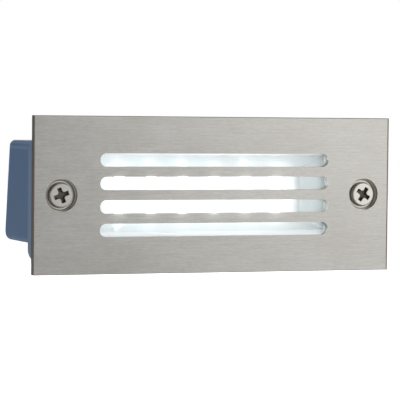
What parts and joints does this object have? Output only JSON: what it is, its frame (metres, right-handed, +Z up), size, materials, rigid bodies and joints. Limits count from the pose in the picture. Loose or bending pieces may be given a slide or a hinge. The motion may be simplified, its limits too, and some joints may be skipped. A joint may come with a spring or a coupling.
{
  "type": "step light",
  "caption": "Recessed wall step light: brushed steel faceplate with level louvre slots and screws at both ends, over a sealed LED unit in a moulded wall box.",
  "frame": {"origin": "on the wall surface, which the rear face of the wall box's rim rests on, behind the middle of the faceplate", "axes": "+X along the faceplate, to the right as seen from in front; +Y into the wall; +Z up"},
  "size_m": [0.122, 0.0432, 0.05],
  "materials": {
    "blue_polypropylene": "satin moulded polypropylene, slate blue",
    "brass": "turned",
    "black_rubber": "moulded rubber",
    "brushed_stainless_steel": "level brushed grain",
    "stainless_steel": "plain",
    "gasket_rubber": "die-cut sheet",
    "clear_polycarbonate": "clear, faintly diffusing",
    "white_silicone": "soft silicone",
    "grey_polycarbonate": "moulded",
    "white_reflector": "gloss white moulding",
    "white_nylon": "moulded nylon",
    "led_board_white": "white solder mask on aluminium",
    "lit_led": "lit, cool white",
    "circuit_board": "green solder mask",
    "capacitor_sleeve": "shrink sleeve",
    "ferrite": "sintered ferrite",
    "moulded_black": "moulded epoxy",
    "terminal_green": "moulded",
    "gland_nylon": "moulded nylon",
    "polished_steel": "bright screw"
  },
  "bodies": {
    "wall_box_body": {"wall_box": "blue_polypropylene", "box_inserts": "brass", "cable_grommet": "black_rubber"},
    "lamp_unit": {"faceplate": "brushed_stainless_steel", "plate_studs": "stainless_steel", "face_gasket": "gasket_rubber", "lens": "clear_polycarbonate", "lens_gasket": "white_silicone", "lamp_housing": "grey_polycarbonate", "housing_washers": "stainless_steel", "housing_nuts": "stainless_steel", "reflector": "white_reflector", "reflector_screws": "white_nylon", "led_board": "led_board_white", "leds": "lit_led", "driver_board": "circuit_board", "driver_board_screws": "stainless_steel", "driver_capacitors": "capacitor_sleeve", "driver_transformer": "ferrite", "driver_choke": "ferrite", "driver_chip": "moulded_black", "link_header": "moulded_black", "link_pins": "brass", "terminal_block": "terminal_green", "terminal_screws": "stainless_steel", "cover_seal": "gasket_rubber", "driver_cover": "grey_polycarbonate", "cover_screws": "stainless_steel", "gland_body": "gland_nylon", "gland_locknut": "gland_nylon", "gland_seal": "black_rubber", "gland_nut": "gland_nylon"},
    "left_screw_shank_seal": {"left_screw_seal": "black_rubber"},
    "left_screw": {"left_faceplate_screw": "polished_steel"},
    "right_screw_shank_seal": {"right_screw_seal": "black_rubber"},
    "right_screw": {"right_faceplate_screw": "polished_steel"}
  },
  "joints": [
    {"name": "lamp_unit_pull", "type": "slide", "parent": "wall_box_body", "child": "lamp_unit", "axis": [0, -1, 0], "range_m": [0, 0.05]},
    {"name": "left_screw_travel", "type": "slide", "parent": "lamp_unit", "child": "left_screw_shank_seal", "axis": [0, -1, 0], "range_m": [0, 0.012]},
    {"name": "left_screw_turn", "type": "hinge", "parent": "left_screw_shank_seal", "child": "left_screw", "pos_m": [-0.052, -0.0058, 0], "axis": [0, -1, 0], "range_deg": [0, 7200]},
    {"name": "right_screw_travel", "type": "slide", "parent": "lamp_unit", "child": "right_screw_shank_seal", "axis": [0, -1, 0], "range_m": [0, 0.012]},
    {"name": "right_screw_turn", "type": "hinge", "parent": "right_screw_shank_seal", "child": "right_screw", "pos_m": [0.052, -0.0058, 0], "axis": [0, -1, 0], "range_deg": [0, 7200]}
  ],
  "couplings": [
    {"joint": "left_screw_turn", "follows": "left_screw_travel", "rad_per_m": 10472},
    {"joint": "right_screw_turn", "follows": "right_screw_travel", "rad_per_m": 10472}
  ]
}
